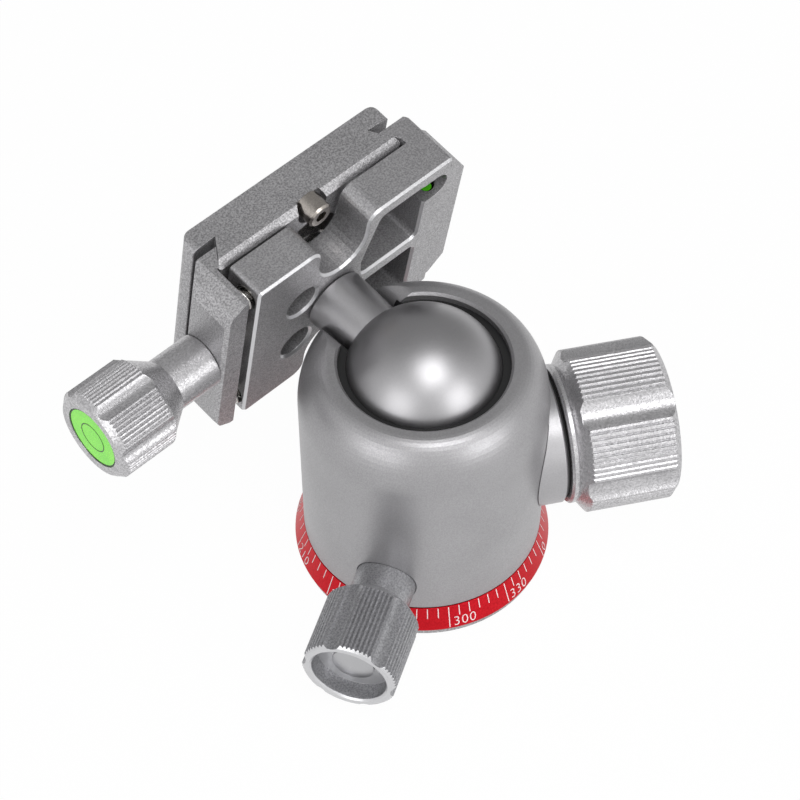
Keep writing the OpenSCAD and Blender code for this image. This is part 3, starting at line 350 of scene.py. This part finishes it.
# Pan bearing: a steel disc, screwed to the base with blackened screws, holds the housing down
# between two white moulded slip washers. A turned brass ring is threaded into the housing, and
# a black moulded shoe brakes the disc.
def polished_metal(name, colour, roughness, speck_mm, speck):
    """Turned or polished metal: a clear reflection, uneven by fine specks, its edges softened.

    The specks stand for tool marks far under 0.1 mm, drawn coarse enough to show.
    """
    edge_mm, rough_spread = 0.1, 0.03
    made, tree, out = new_material(name)
    specks, tint = mottled(tree, speck_mm, shades(colour, 1 - speck, 1 + speck), (noise_low, noise_high),
                           Detail=3.0)
    rough = add(tree, "ShaderNodeMapRange", {"Value": specks, "From Min": noise_low, "From Max": noise_high,
                                             "To Min": roughness - rough_spread,
                                             "To Max": roughness + rough_spread})
    edge = add(tree, "ShaderNodeBevel", {"Radius": edge_mm / 1000}, samples=4)
    metal = add(tree, "ShaderNodeBsdfPrincipled", {"Base Color": tint, "Metallic": 1.0,
                                                   "Roughness": rough.outputs[0], "Normal": edge.outputs[0]})
    tree.links.new(metal.outputs[0], out.inputs["Surface"])
    return made


def moulded(name, colour, roughness, grain_mm, bump_mm):
    """Moulded plastic or rubber: a dull, broad highlight with a fine grain in colour and height.

    The mould's own grain is about 0.1 mm, drawn coarse enough to show.
    """
    made, tree, out = new_material(name)
    grain, tint = mottled(tree, grain_mm, shades(colour, 0.85, 1.15), Detail=2.0)
    bumps = add(tree, "ShaderNodeBump", {"Height": grain, "Distance": bump_mm / 1000})
    skin = add(tree, "ShaderNodeBsdfPrincipled", {"Base Color": tint, "Roughness": roughness,
                                                  "Normal": bumps.outputs[0]})
    tree.links.new(skin.outputs[0], out.inputs["Surface"])
    return made


steel = polished_metal("turned_steel", "#b9b7b4", roughness=0.26, speck_mm=0.2, speck=0.06)
black_steel = polished_metal("blackened_steel", "#2c2c2e", roughness=0.34, speck_mm=0.3, speck=0.10)
brass = polished_metal("turned_brass", "#c7a35c", roughness=0.28, speck_mm=0.3, speck=0.05)
slip_plastic = moulded("slip_plastic", "#dcdad2", roughness=0.45, grain_mm=0.5, bump_mm=0.01)
black_plastic = moulded("black_plastic", "#161617", roughness=0.35, grain_mm=0.4, bump_mm=0.01)
finish(steel, "pan_disc")
finish(black_steel, "pan_disc_screws")
finish(brass, "bearing_ring")
finish(slip_plastic, "lower_slip_washer", "upper_slip_washer")
finish(black_plastic, "pan_brake_shoe")

# Ball housing: turned aluminium, blasted finer than the rest, which looks smooth and soft
# grey. The insert that guides the ball lock has the same finish. The ball is pressed up
# against a ring of black moulded plastic in the housing's mouth.
finish(blasted_aluminium("housing_fine_blasted", "#9f9ea0", roughness=0.40, grain_mm=0.24,
                         sparkle=0.07, bump_mm=0.010), "housing", "wedge_block")
finish(black_plastic, "ball_seat_ring")

# Ball with its stem: one turned piece, polished and hard anodised, which gives a satin sheen
# with no sparkle. A turned brass cup under it is lifted by a turned steel pin.
finish(polished_metal("ball_satin_polished", "#a3a2a4", roughness=0.40, speck_mm=0.25, speck=0.03),
       "ball_and_stem")
finish(brass, "ball_cup")
finish(steel, "wedge_pin")

# Lock knob: aluminium with a coarse blast, anodised bright silver, screwed to a steel spindle.
# It turns against a finely blasted collar, with an O-ring of moulded black rubber between
# them, which stays dull.
knob_finish = blasted_aluminium("knob_bright_blasted", "#b6b5b7", roughness=0.30, grain_mm=0.32,
                                sparkle=0.24, bump_mm=0.026)
black_rubber = moulded("black_rubber", "#1b1b1c", roughness=0.6, grain_mm=0.3, bump_mm=0.03)
finish(knob_finish, "main_knob", "main_knob_cap")
finish(blasted_aluminium("collar_fine_blasted", "#a5a4a6", roughness=0.38, grain_mm=0.22,
                         sparkle=0.05, bump_mm=0.006), "knob_collar")
finish(black_rubber, "main_knob_oring")
finish(steel, "main_spindle")
finish(black_steel, "main_knob_screw")

# Pan knob: blasted aluminium with a darker grey anodising, its front rim cut bright. The
# domed head of its nickel-plated steel spindle lies in the knob's hollow end and mirrors
# the room softly.
pan_turn = math.radians(-152)
pan_axis = Vector((math.cos(pan_turn), math.sin(pan_turn), 0))
finish(blasted_aluminium("pan_knob_dark_blasted", "#9a9a9d", roughness=0.34, grain_mm=0.28, sparkle=0.26,
                         bump_mm=0.03, cut_axis=pan_axis, cut_at=0.85, cut_width=0.2), "pan_knob")
finish(polished_metal("nickel_plated_steel", "#b4b4b6", roughness=0.34, speck_mm=0.2, speck=0.04),
       "pan_spindle")

# Clamp base: milled aluminium, blasted coarser than the housing, with the edges underneath
# machined bright. A steel bolt holds it on the stem.
stem_tilt = math.radians(80)
stem_axis = Vector((0, math.sin(stem_tilt), math.cos(stem_tilt)))
finish(blasted_aluminium("clamp_blasted", "#a2a1a3", roughness=0.38, grain_mm=0.28, sparkle=0.26,
                         bump_mm=0.03, cut_axis=stem_axis), "clamp_base")
finish(steel, "clamp_bolt")

# Side vial: a small tube of clear moulded acrylic in a bore of the clamp base, see-through
# with a brighter rim, filled with green liquid with a faint painted glow: an emission, though
# the liquid is no lamp. Only its end shows, in the wall of a slot.
haze_mm, swirl_mm = 1.5, 4
clear, tree, out = new_material("clear_acrylic")
place = add(tree, "ShaderNodeTexCoord")
haze = add(tree, "ShaderNodeTexNoise", {"Vector": place.outputs["Object"], "Scale": 1000 / haze_mm})
rough = add(tree, "ShaderNodeMapRange", {"Value": haze.outputs["Fac"], "From Min": 0.0, "From Max": 1.0,
                                         "To Min": 0.03, "To Max": 0.09})
window = add(tree, "ShaderNodeBsdfTransparent", {"Color": linear("#f2fff0")})
gloss = add(tree, "ShaderNodeBsdfGlossy", {"Color": linear("#ffffff"), "Roughness": rough.outputs[0]})
rim_share = add(tree, "ShaderNodeFresnel", {"IOR": 1.49})
lens = add(tree, "ShaderNodeMixShader", {0: rim_share.outputs[0], 1: window.outputs[0], 2: gloss.outputs[0]})
tree.links.new(lens.outputs[0], out.inputs["Surface"])
finish(clear, "side_vial")

liquid, tree, out = new_material("green_liquid_painted_glow")
_, greens = mottled(tree, swirl_mm, (linear("#5fcf16"), linear("#86e62c")))
# The emission is painted glow: the liquid lights itself a little, though it is no lamp.
body = add(tree, "ShaderNodeBsdfPrincipled", {"Base Color": greens, "Roughness": 0.15,
                                              "Emission Color": linear("#6ee81c"),
                                              "Emission Strength": 0.12})
tree.links.new(body.outputs[0], out.inputs["Surface"])
finish(liquid, "side_vial_fluid")

# Clamp knob: the lock knob's bright blast, on a steel spindle. The round level in its end is
# a black moulded cup of green liquid. Its lens takes the liquid's green and painted glow, and
# a thin black line runs round its middle and another near its edge.
finish(knob_finish, "clamp_knob")
finish(steel, "clamp_spindle")
finish(black_plastic, "level_cup")
finish(liquid, "level_fluid", "level_lens")
fluid_low, fluid_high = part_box("level_fluid")
level_axis = Vector((0, (fluid_low[1] + fluid_high[1]) / 2, (fluid_low[2] + fluid_high[2]) / 2))
level_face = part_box("level_lens")[0][0]
ring_points, ring_lift = 96, 0.03


def level_ring(name, inner, outer):
    """Flat ring before the lens: (r cos t, r sin t) about the level's axis, r the inner and outer mm."""
    turn = np.linspace(0, 2 * np.pi, ring_points + 1)[:-1]
    rings = np.stack([np.stack([np.full(ring_points, level_face - ring_lift / 1000),
                                level_axis.y + r / 1000 * np.cos(turn),
                                level_axis.z + r / 1000 * np.sin(turn)], -1) for r in (inner, outer)])
    i = np.arange(ring_points)
    j = (i + 1) % ring_points
    quads = np.stack([i, i + ring_points, j + ring_points, j], -1)[:, ::-1]
    return mesh_piece(name, rings.reshape(-1, 3), quads)


black_line = moulded("level_black_line", "#0b0c0b", roughness=0.4, grain_mm=0.5, bump_mm=0.002)
for name, inner, outer in (("level_inner_ring", 2.46, 2.63), ("level_outer_ring", 5.06, 5.28)):
    ring = level_ring(name, inner, outer)
    ring.data.materials.append(black_line)
    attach(ring, "clamp_knob")

# Jaw: milled and blasted aluminium like the plate, kept square by two turned steel guide
# pins. Two coiled steel springs on the pins push it open.
finish(plate_finish, "jaw")
finish(steel, "jaw_guide_pins")
wire_radius, coil_radius, coil_turns = 0.28, 1.75, 5
coil_steps, wire_sides = 240, 10
guide_side = 13.8
spring_low, spring_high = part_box("jaw_springs")
spring_l = np.array([0, math.cos(stem_tilt), -math.sin(stem_tilt)])
spring_n = np.array(stem_axis)
# The middle between the two springs, in mm: up the base's axis, then along the plate and
# along the stem. Its x isn't used.
middle_up, middle_l, middle_n = 40.4, 1.6, 23.5
guide_middle = np.array([0, 0, middle_up]) + spring_l * middle_l + spring_n * middle_n


def spring_tube(side):
    """Round wire carried along a helix: centre (x, R cos t, R sin t), x rising evenly over all turns."""
    t = np.linspace(0, 1, coil_steps + 1)
    angle = 2 * np.pi * coil_turns * t
    low, high = spring_low[0] * 1000 + wire_radius, spring_high[0] * 1000 - wire_radius
    centre = guide_middle + spring_l * side * guide_side
    radial = np.cos(angle)[:, None] * spring_l + np.sin(angle)[:, None] * spring_n
    path = centre + coil_radius * radial
    path[:, 0] = low + (high - low) * t
    tangent = np.gradient(path, axis=0)
    tangent /= np.linalg.norm(tangent, axis=1)[:, None]
    side_way = np.cross(tangent, radial)
    k = np.linspace(0, 2 * np.pi, wire_sides + 1)[:-1]
    ring = path[:, None] + wire_radius * (np.cos(k)[None, :, None] * radial[:, None]
                                          + np.sin(k)[None, :, None] * side_way[:, None])
    i, j = np.meshgrid(np.arange(coil_steps), np.arange(wire_sides), indexing="ij")
    here, onward, beside = i * wire_sides, (i + 1) * wire_sides, (j + 1) % wire_sides
    quads = np.stack([here + j, here + beside, onward + beside, onward + j], -1).reshape(-1, 4)
    return ring.reshape(-1, 3) / 1000, quads


points_a, quads_a = spring_tube(-1)
points_b, quads_b = spring_tube(1)
coils = mesh_piece("jaw_spring_coils", np.vstack([points_a, points_b]),
                   np.vstack([quads_a, quads_b + len(points_a)]))
coils.data.materials.append(polished_metal("spring_steel", "#c4c2be", roughness=0.2, speck_mm=0.2,
                                           speck=0.05))
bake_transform(coils)
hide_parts("jaw_springs")

# Camera plate: milled and blasted aluminium with pads of moulded black rubber on top. Two
# plain steel safety screws sit underneath, and a blackened clip keeps the steel camera screw
# in the plate.
finish(plate_finish, "qr_plate")
finish(black_rubber, "plate_pads")
finish(polished_metal("plain_screw_steel", "#a8a29c", roughness=0.24, speck_mm=0.3, speck=0.12),
       "safety_screws")
finish(steel, "camera_screw")
finish(black_steel, "camera_screw_clip")
